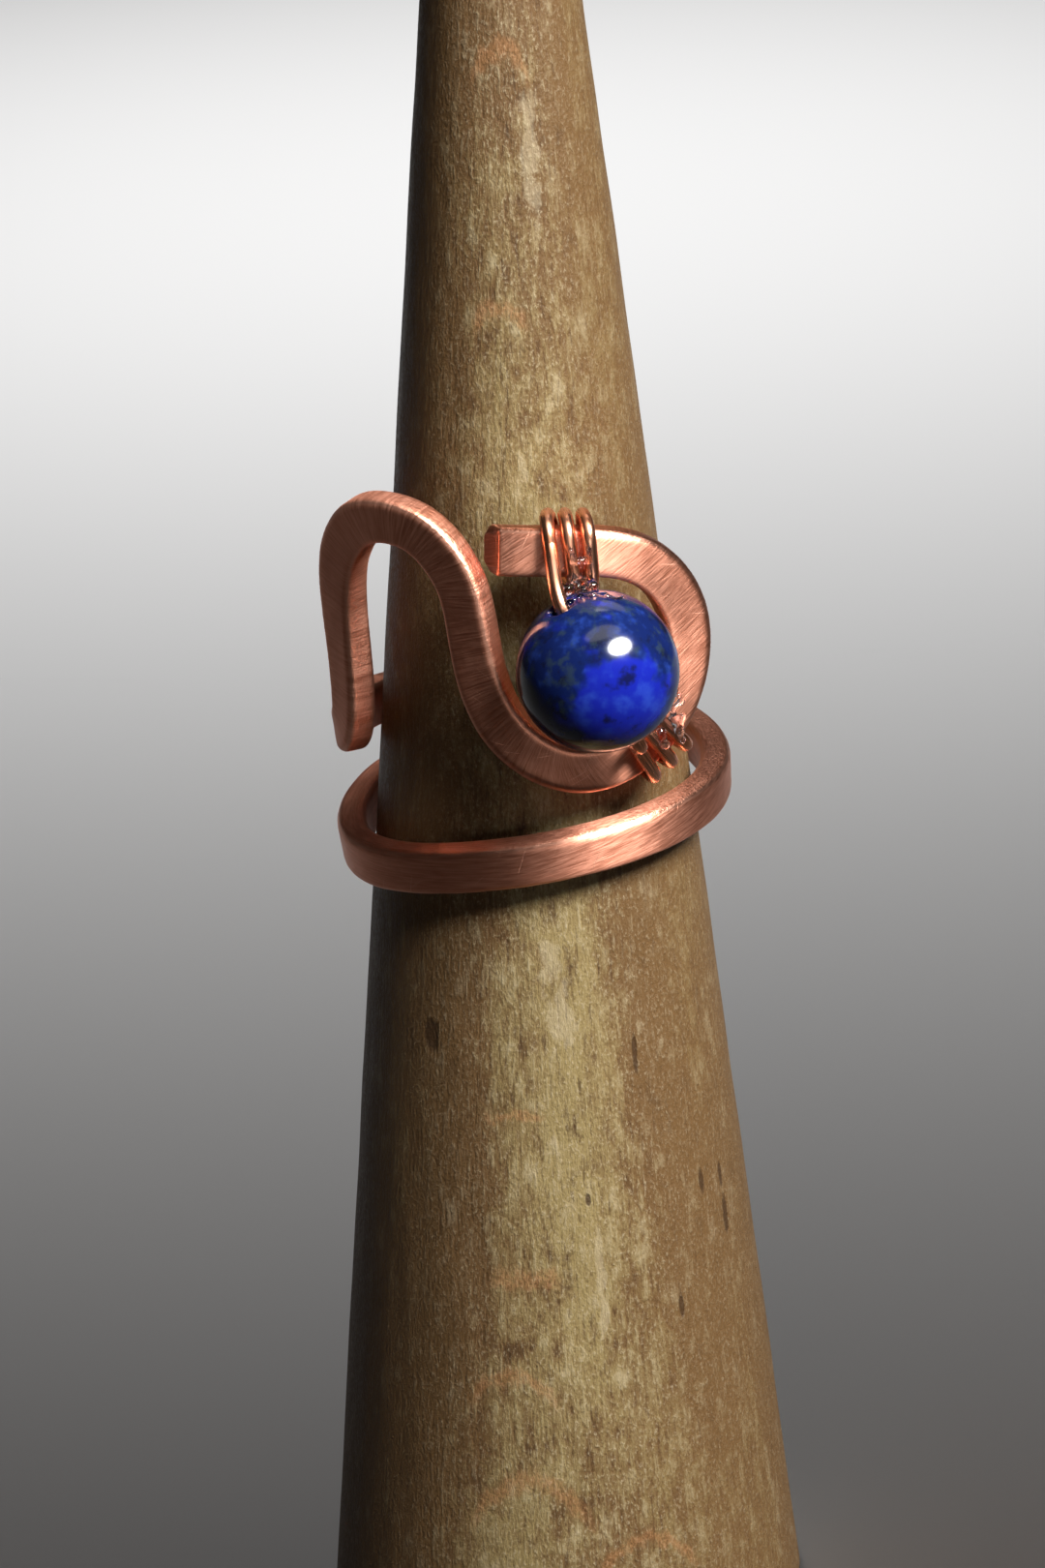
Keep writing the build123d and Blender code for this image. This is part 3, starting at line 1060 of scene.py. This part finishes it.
def wood_material(context):
    """Worn waxed wood: upright olive and brown grain, arched figures, knots and rubbed patches, with
    painted shade on both sides of the cone and one painted highlight of a glint streak.
    """
    colours = context.scene.copper_ring_finish
    material, tree, shader = new_material("worn_wood")
    place = object_place(tree)
    surface = unrolled(place)
    angle = surface[0]
    zones = grain(place, (0.16, 0.16, 0.03), shift=4.0)
    mottle = grain(place, (1.2, 1.2, 0.55), shift=11.0, detail=5.0, roughness=0.65)
    fibres = grain(place, (5.0, 5.0, 0.35), shift=19.0, detail=4.0, roughness=0.6)
    flecks = grain(place, (7.0, 7.0, 4.0), shift=23.0, roughness=0.7)
    wobble = grain(place, (1.6, 1.6, 1.0), shift=29.0, detail=4.0) - 0.5
    # Painted shade: the wood turns browner and darker towards the cone's left and right sides
    painted_side_shade = ramp(angle, 5.0, 50.0) + ramp(angle, -50.0, -5.0, 1.0, 0.0)
    mixed = painted_side_shade * -0.09 + zones * 0.40 + mottle * 0.34 + fibres * 0.16 + flecks * 0.10
    colour = blended(ramp(mixed, 0.41, 0.58), colours.wood_brown_and_side_shade, colours.wood_olive)
    colour = layered(colour, [
        (mottle, 0.52, 0.74, 0.0, 0.45, colours.wood_pale_and_glint),
        (mottle, 0.28, 0.44, 0.6, 0.0, colours.wood_dark),
        (fibres, 0.30, 0.44, 0.6, 0.0, colours.wood_dark),
        (fibres, 0.56, 0.74, 0.0, 0.35, colours.wood_pale_and_glint),
        (flecks, 0.52, 0.72, 0.0, 0.6, colours.wood_pale_and_glint),
        (flecks, 0.28, 0.44, 0.5, 0.0, colours.wood_dark),
    ])
    # Painted shade on the cone's left and right sides
    colour = blended(painted_side_shade * 0.55, colour, colours.wood_brown_and_side_shade)
    figure = arches(surface, wobble) * ramp(flecks, 0.35, 0.60, 0.10, 0.45)
    colour = blended(figure, colour, colours.wood_orange)
    # Pale rubbed patches, and one painted highlight of a glint streak high on the cone's front
    rubbed = spots(surface, wobble * 3.0, PALE_PATCHES_AND_GLINT) * 0.35
    colour = blended(rubbed, colour, colours.wood_pale_and_glint)
    dark = spots(surface, wobble, DARK_SPOTS) * 0.85
    colour = blended(dark, colour, colours.wood_dark)
    relief = fibres * 0.5 + flecks * 0.6 + mottle * 0.4 + dark * -0.6
    fill(tree, shader, {
        "Base Color": colour,
        "Roughness": ramp(flecks, 0.35, 0.65, 0.36, 0.62),
        "Specular IOR Level": 0.2,
        "Normal": bumps(relief, depth=0.16 * MM, strength=0.8),
    })
    return material


def glue_material(context):
    """Clear hardened glue with a faint lilac haze."""
    colours = context.scene.copper_ring_finish
    material, tree, shader = new_material("clear_glue")
    haze = grain(object_place(tree), (2.2, 2.2, 2.2), shift=5.0)
    fill(tree, shader, {
        "Base Color": blended(ramp(haze, 0.4, 0.65), colours.glue, colours.glue_haze),
        "Roughness": 0.03,
        "Transmission Weight": 1.0,
        "IOR": 1.36,
        "Normal": bumps(haze, depth=0.06 * MM, strength=0.6),
    })
    return material


def floor_material(context):
    """Plain pale floor."""
    stage = context.scene.copper_ring_stage
    material, tree, shader = new_material("pale_floor")
    fill(tree, shader, {"Base Color": (*stage.floor, 1.0), "Roughness": 0.85})
    return material


# Sizes and colours that a user would change

def metres(name, description, default):
    """Property for a length in metres."""
    return FloatProperty(name=name, description=description, default=default, unit="LENGTH", precision=5)


def decimal(name, description, default):
    """Property for a plain number, such as degrees or a share."""
    return FloatProperty(name=name, description=description, default=default)


def whole(name, description, default):
    """Property for a whole number."""
    return IntProperty(name=name, description=description, default=default)


def tint(name, description, default):
    """Property for a linear colour."""
    return FloatVectorProperty(
        name=name, description=description, default=default, subtype="COLOR", size=3, min=0.0, max=1.0
    )


class FlatWireSettings(bpy.types.PropertyGroup):
    bore: metres("Bore", "Inner diameter of the ring", 17.2 * MM)
    level: metres("Ring level", "Height of the ring above the cone's foot", 46.0 * MM)
    design_height: metres("Design height", "Height that the poles' shares are taken of", 20.0 * MM)
    width: metres("Width", "Width of the flattened wire", 2.5 * MM)
    thickness: metres("Thickness", "Thickness of the flattened wire", 1.6 * MM)
    corner: metres("Corner", "Radius of the wire's long edges", 0.45 * MM)
    end_round: metres("End rounding", "Radius of the edges at the cut ends", 0.28 * MM)
    cut_slant: metres("Cut slant", "Slant of the cut tip through the wire", 1.0 * MM)
    uneven: metres("Unevenness", "Depth of the hammered unevenness", 0.06 * MM)
    step: metres("Step", "Distance between sections along the wire", 0.1 * MM)


class BindingSettings(bpy.types.PropertyGroup):
    diameter: metres("Diameter", "Diameter of the thin wire", 0.72 * MM)
    clearance: metres("Clearance", "Gap between the thin wire and the flattened one", 0.12 * MM)
    step: metres("Step", "Distance between sections along the thin wire", 0.12 * MM)
    top_start: metres("Top start", "Place of the first top wrap from the tip", 5.62 * MM)
    top_first: decimal("Top first turn", "Degrees round the bar where the top wraps start", -100.0)
    top_turns: decimal("Top turns", "Degrees that the top wraps turn", 896.0)
    top_pitch: metres("Top pitch", "Distance between the top wraps", 0.85 * MM)
    top_lean: metres("Top lean", "Lean of each top wrap towards the tip", 0.4 * MM)
    low_start: metres("Low start", "Place of the first low wrap from the tip", 20.31 * MM)
    low_first: decimal("Low first turn", "Degrees round the hook where the low wraps start", 120.0)
    low_turns: decimal("Low turns", "Degrees that the low wraps turn", -994.0)
    low_pitch: metres("Low pitch", "Distance between the low wraps", 0.93 * MM)
    low_lean: metres("Low lean", "Lean of each low wrap towards the tip", 0.0)
    tail_start: metres("Tail start", "Place where the tail starts, from the tip", 17.58 * MM)
    tail_first: decimal("Tail first turn", "Degrees round the hook where the tail starts", 187.0)
    tail_turns: decimal("Tail turns", "Degrees that the tail turns", -61.0)
    tail_pitch: metres("Tail pitch", "Distance that the tail would gain in a whole turn", 7.7 * MM)
    tail_lean: metres("Tail lean", "Lean of the tail towards the tip", 0.0)


class BeadSettings(bpy.types.PropertyGroup):
    angle: decimal("Angle", "Degrees round the finger from its front", 13.9)
    hole_slant: decimal("Hole slant", "Degrees of the hole from upright", 26.0)
    hole: metres("Hole", "Diameter of the bead's hole", 1.2 * MM)
    hole_round: metres("Hole rounding", "Radius of the hole's rims", 0.2 * MM)
    sides: whole("Sides", "Faces round the bead", 128)


class GlueSettings(bpy.types.PropertyGroup):
    cell: decimal("Cell", "Size of the glue's mesh cells in millimetres", 0.055)
    ripple: decimal("Ripple", "Depth of the glue's ripples in millimetres", 0.09)
    ripple_scale: decimal("Ripple scale", "Ripples for each millimetre", 2.4)


class ConeSettings(bpy.types.PropertyGroup):
    tip_round: metres("Tip rounding", "Radius of the cone's tip", 2.5 * MM)
    foot_round: metres("Foot rounding", "Radius of the cone's foot edge", 0.6 * MM)
    slope: decimal("Slope", "Loss of radius for each unit of height", 0.0996)
    sides: whole("Sides", "Faces round the cone", 216)
    rows: whole("Rows", "Rows of faces up the cone", 400)


class FinishSettings(bpy.types.PropertyGroup):
    copper: tint("Copper", "Satin copper on the strokes", (0.88, 0.41, 0.275))
    copper_dark: tint("Dark copper", "Satin copper between the strokes", (0.68, 0.25, 0.145))
    copper_pale: tint("Pale copper", "Rubbed edges and scratches", (0.95, 0.52, 0.37))
    tarnish: tint("Tarnish", "Darkened copper", (0.50, 0.17, 0.09))
    bright: tint("Bright copper", "Thin drawn wire", (0.96, 0.47, 0.30))
    bright_dark: tint("Dark bright copper", "Darker drawn wire", (0.84, 0.33, 0.17))
    # Main blue, also the colour of the painted light on the bead's front
    stone: tint("Stone", "Main blue of the bead", (0.005, 0.010, 0.19))
    # Dark clouds, also the colour of the painted shade towards the bead's sides
    stone_dark_and_side_shade: tint("Dark stone", "Dark clouds of the bead", (0.003, 0.008, 0.05))
    stone_deep: tint("Deep stone", "Deepest marks of the bead", (0.003, 0.004, 0.012))
    stone_pale: tint("Pale stone", "Pale mottling of the bead", (0.020, 0.055, 0.30))
    stone_green: tint("Green stone", "Greenish marks of the bead", (0.020, 0.034, 0.030))
    stone_gold: tint("Gold specks", "Mineral specks of the bead", (0.20, 0.18, 0.09))
    wood_olive: tint("Olive wood", "Main colour of the cone", (0.175, 0.128, 0.052))
    # Brown grain, also the colour of the painted shade on the cone's sides
    wood_brown_and_side_shade: tint("Brown wood", "Brown grain of the cone", (0.092, 0.050, 0.019))
    # Pale grain, also the colour of the painted highlight of a glint streak high on the cone
    wood_pale_and_glint: tint("Pale wood", "Pale grain of the cone", (0.30, 0.245, 0.155))
    wood_dark: tint("Dark wood", "Dark grain of the cone", (0.034, 0.017, 0.007))
    wood_orange: tint("Orange wood", "Arched figures of the cone's grain", (0.24, 0.105, 0.040))
    glue: tint("Glue", "Clear glue", (0.96, 0.95, 0.98))
    glue_haze: tint("Glue haze", "Haze in the glue", (0.80, 0.76, 0.90))


class StageSettings(bpy.types.PropertyGroup):
    floor: tint("Floor", "Colour of the floor", (0.60, 0.60, 0.60))
    floor_size: metres("Floor size", "Side of the floor", 8.0)
    room: tint("Room", "Colour of the soft light from all round", (0.70, 0.55, 0.46))
    room_strength: decimal("Room strength", "Strength of the soft light from all round", 0.04)
    distance: metres("Camera distance", "From the ring to the camera", 0.28)
    elevation: decimal("Elevation", "Camera's degrees above level", 20.0)
    roll: decimal("Roll", "Camera's degrees of roll", 2.51)
    lens: decimal("Lens", "Focal length in millimetres", 124.44)
    aside: metres("Aside", "Distance that the camera stands to the left", 0.61 * MM)


# Operators

class COPPER_OT_flat_wire(bpy.types.Operator):
    """Make the flattened copper wire that is bent into the ring"""

    bl_idname = "copper_ring.flat_wire"
    bl_label = "Flattened Wire"

    def execute(self, context):
        ring = context.scene.copper_ring_wire
        path = flat_path(context)
        values = bar_values(context, path, ring.step)
        values["End rounding"] = ring.end_round
        values["Cut slant"] = ring.cut_slant
        values["Unevenness"] = ring.uneven
        values["Material"] = copper_material(context)
        piece = run_tree(context, flat_wire_tree(bent_path_tree()), "flat_wire", values)
        bpy.data.objects.remove(path)
        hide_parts("ring_wire")
        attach(piece, "root")
        return {"FINISHED"}


class COPPER_OT_binding_wire(bpy.types.Operator):
    """Make the thin wire that binds the bead to the ring"""

    bl_idname = "copper_ring.binding_wire"
    bl_label = "Binding Wire"

    def execute(self, context):
        binding = context.scene.copper_ring_binding
        path = flat_path(context)
        down_hole = hole_direction(context.scene.copper_ring_bead) * BEAD_RADIUS
        run = bpy.data.meshes.new("hole_run")
        run.from_pydata([BEAD_MIDDLE + down_hole * share for share in HOLE_PLACES], [], [])
        values = bar_values(context, path, binding.step)
        values["Wire diameter"] = binding.diameter
        values["Clearance"] = binding.clearance
        for name in WRAP_SETS:
            for size in WRAP_SIZES:
                setting = f"{name}_{size.split()[0]}".lower()
                values[f"{name} {size}"] = getattr(binding, setting)
        values["Material"] = bright_copper_material(context)
        tree = binding_wire_tree(bent_path_tree(), wraps_tree())
        piece = run_tree(context, tree, "thin_wire", values, run)
        bpy.data.objects.remove(path)
        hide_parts("binding_wire")
        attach(piece, "root")
        return {"FINISHED"}


class COPPER_OT_bead(bpy.types.Operator):
    """Make the round drilled bead"""

    bl_idname = "copper_ring.bead"
    bl_label = "Bead"

    def execute(self, context):
        bead = context.scene.copper_ring_bead
        mesh = lathe("stone_bead", bead_outline(bead), bead.sides)
        turn = hole_direction(bead).to_track_quat("Z", "Y").to_matrix().to_4x4()
        mesh.transform(Matrix.Translation(BEAD_MIDDLE) @ turn)
        piece = placed_piece(context, "stone_bead", mesh, lapis_material(context))
        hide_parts("bead")
        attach(piece, "root")
        return {"FINISHED"}


class COPPER_OT_glue(bpy.types.Operator):
    """Make the clear glue at the bead's two ends"""

    bl_idname = "copper_ring.glue"
    bl_label = "Glue"

    def execute(self, context):
        glue = context.scene.copper_ring_glue
        right, up, out = bead_axes(context.scene.copper_ring_bead)
        tree = glue_tree()
        material = glue_material(context)
        for name, drops in (("top_glue", TOP_DROPS), ("low_glue", LOW_DROPS)):
            mesh = bpy.data.meshes.new(name + "_drops")
            drops = with_bridges(drops)
            places = [BEAD_MIDDLE + (right * x + up * y + out * z) * MM for x, y, z, _ in drops]
            mesh.from_pydata(places, [], [])
            sizes = mesh.attributes.new("drop_radius", "FLOAT", "POINT")
            sizes.data.foreach_set("value", [radius for *_, radius in drops])
            values = {
                "Cell": glue.cell,
                "Ripple": glue.ripple,
                "Ripple scale": glue.ripple_scale,
                "Material": material,
            }
            piece = run_tree(context, tree, name, values, mesh)
            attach(piece, "root")
        return {"FINISHED"}


class COPPER_OT_display_cone(bpy.types.Operator):
    """Make the worn wooden cone"""

    bl_idname = "copper_ring.display_cone"
    bl_label = "Display Cone"

    def execute(self, context):
        cone = context.scene.copper_ring_cone
        mesh = lathe("wooden_cone", cone_outline(cone), cone.sides, wood_wear)
        piece = placed_piece(context, "wooden_cone", mesh, wood_material(context))
        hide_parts("display_cone")
        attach(piece, "root")
        return {"FINISHED"}


# Softboxes
# aim: distance behind the cone's axis and height of the place that it faces, in metres
# stand: degrees to the right of the front, degrees above level, and distance in metres
# box: width and height in metres
# beam: power in watts and degrees of spread
LIGHTS = {
    "key_light": ((0, 0.046), (45, 46, 0.33), (0.20, 0.12), (0.56, 60)),
    "top_light": ((0, 0.046), (25, 72, 0.40), (0.34, 0.14), (0.24, 180)),
    "floor_light": ((0.32, 0), (0, 89, 0.42), (0.36, 0.36), (0.62, 66)),
    "back_light": ((0, 0.046), (170, 52, 0.40), (0.30, 0.14), (0.06, 120)),
    "front_light": ((0, 0.046), (15, 2, 0.45), (0.30, 0.12), (0.05, 90)),
}
# Pieces that a light is kept off, so that the copper mirrors a calm floor and the bead has one spot
SPARED = {
    "key_light": ("floor",),
    "top_light": ("floor",),
    "back_light": ("floor",),
    "front_light": ("floor", "stone_bead"),
}


def softbox(context, name):
    """Area light that faces its aim."""
    (behind, rise), (azimuth, elevation, distance), (width, height), (power, spread) = LIGHTS[name]
    data = bpy.data.lights.new(name, "AREA")
    data.shape = "ELLIPSE"
    data.size = width
    data.size_y = height
    data.energy = power
    data.spread = math.radians(spread)
    light = bpy.data.objects.new(name, data)
    turn = math.radians(azimuth)
    lift = math.radians(elevation)
    away = Vector((math.sin(turn) * math.cos(lift), -math.cos(turn) * math.cos(lift), math.sin(lift)))
    light.location = Vector((0, behind, rise)) + away * distance
    light.rotation_mode = "QUATERNION"
    light.rotation_quaternion = away.to_track_quat("Z", "Y")
    context.collection.objects.link(light)
    return light


def spare(light, pieces):
    """Keeps a light off some pieces."""
    spared = bpy.data.collections.new(light.name + "_spared")
    for piece in pieces:
        spared.objects.link(piece)
    for link in spared.collection_objects:
        link.light_linking.link_state = "EXCLUDE"
    light.light_linking.receiver_collection = spared


def light_room(context):
    """Sets the softboxes and the faint light from all round."""
    stage = context.scene.copper_ring_stage
    for name in LIGHTS:
        light = softbox(context, name)
        if name in SPARED:
            spare(light, [bpy.data.objects[piece] for piece in SPARED[name]])
    world = bpy.data.worlds.new("soft_room")
    world.use_nodes = True
    background = world.node_tree.nodes["Background"]
    background.inputs["Color"].default_value = (*stage.room, 1.0)
    background.inputs["Strength"].default_value = stage.room_strength
    context.scene.world = world
    context.scene.view_settings.view_transform = "Standard"


# Distance under which the camera sees nothing
NEAR_LIMIT = 10.0 * MM


def stand_camera(context):
    """Sets the camera that sees the ring as the photo does."""
    stage = context.scene.copper_ring_stage
    target = Vector((-stage.aside, 0, context.scene.copper_ring_wire.level))
    elevation = math.radians(stage.elevation)
    roll = math.radians(stage.roll)
    back = Vector((0, -math.cos(elevation), math.sin(elevation)))
    level = Vector((1, 0, 0))
    upright = Vector((0, math.sin(elevation), math.cos(elevation)))
    right = level * math.cos(roll) - upright * math.sin(roll)
    up = level * math.sin(roll) + upright * math.cos(roll)
    camera = bpy.data.objects.new("camera", bpy.data.cameras.new("camera"))
    context.collection.objects.link(camera)
    turned = Matrix((right, up, back)).transposed().to_4x4()
    camera.matrix_world = Matrix.Translation(target + back * stage.distance) @ turned
    camera.data.lens = stage.lens
    camera.data.clip_start = NEAR_LIMIT
    context.scene.camera = camera


class COPPER_OT_stage(bpy.types.Operator):
    """Set the floor, the studio lights and the camera"""

    bl_idname = "copper_ring.stage"
    bl_label = "Stage"

    def execute(self, context):
        half = context.scene.copper_ring_stage.floor_size / 2
        corners = [(-half, -half, 0), (half, -half, 0), (half, half, 0), (-half, half, 0)]
        mesh = bpy.data.meshes.new("floor")
        mesh.from_pydata(corners, [], [(0, 1, 2, 3)])
        floor = placed_piece(context, "floor", mesh, floor_material(context))
        stand_camera(context)
        light_room(context)
        return {"FINISHED"}


class COPPER_PT_panel(bpy.types.Panel):
    """Lists the ring's pieces and their sizes"""

    bl_label = "Copper Ring"
    bl_idname = "COPPER_PT_panel"
    bl_space_type = "VIEW_3D"
    bl_region_type = "UI"
    bl_category = "Copper Ring"

    def draw(self, context):
        for pointer, operators in PANEL_ROWS:
            box = self.layout.box()
            for operator in operators:
                box.operator(operator.bl_idname)
            settings = getattr(context.scene, pointer)
            for name in settings.__annotations__:
                box.prop(settings, name)


SETTINGS = {
    "copper_ring_wire": FlatWireSettings,
    "copper_ring_binding": BindingSettings,
    "copper_ring_bead": BeadSettings,
    "copper_ring_glue": GlueSettings,
    "copper_ring_cone": ConeSettings,
    "copper_ring_finish": FinishSettings,
    "copper_ring_stage": StageSettings,
}
PANEL_ROWS = [
    ("copper_ring_wire", [COPPER_OT_flat_wire]),
    ("copper_ring_binding", [COPPER_OT_binding_wire]),
    ("copper_ring_bead", [COPPER_OT_bead]),
    ("copper_ring_glue", [COPPER_OT_glue]),
    ("copper_ring_cone", [COPPER_OT_display_cone]),
    ("copper_ring_finish", []),
    ("copper_ring_stage", [COPPER_OT_stage]),
]
OPERATORS = [operator for _, operators in PANEL_ROWS for operator in operators]
CLASSES = [*SETTINGS.values(), *OPERATORS, COPPER_PT_panel]


def register():
    for kind in CLASSES:
        bpy.utils.register_class(kind)
    for name, kind in SETTINGS.items():
        setattr(bpy.types.Scene, name, PointerProperty(type=kind))


def unregister():
    for name in SETTINGS:
        delattr(bpy.types.Scene, name)
    for kind in reversed(CLASSES):
        bpy.utils.unregister_class(kind)


def main():
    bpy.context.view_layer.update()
    for name in ("Cube", "Light", "Camera"):
        if name in bpy.data.objects:
            bpy.data.objects.remove(bpy.data.objects[name])
    register()
    bpy.ops.copper_ring.flat_wire()
    bpy.ops.copper_ring.binding_wire()
    bpy.ops.copper_ring.bead()
    bpy.ops.copper_ring.glue()
    bpy.ops.copper_ring.display_cone()
    bpy.ops.copper_ring.stage()


if __name__ == "__main__":
    main()
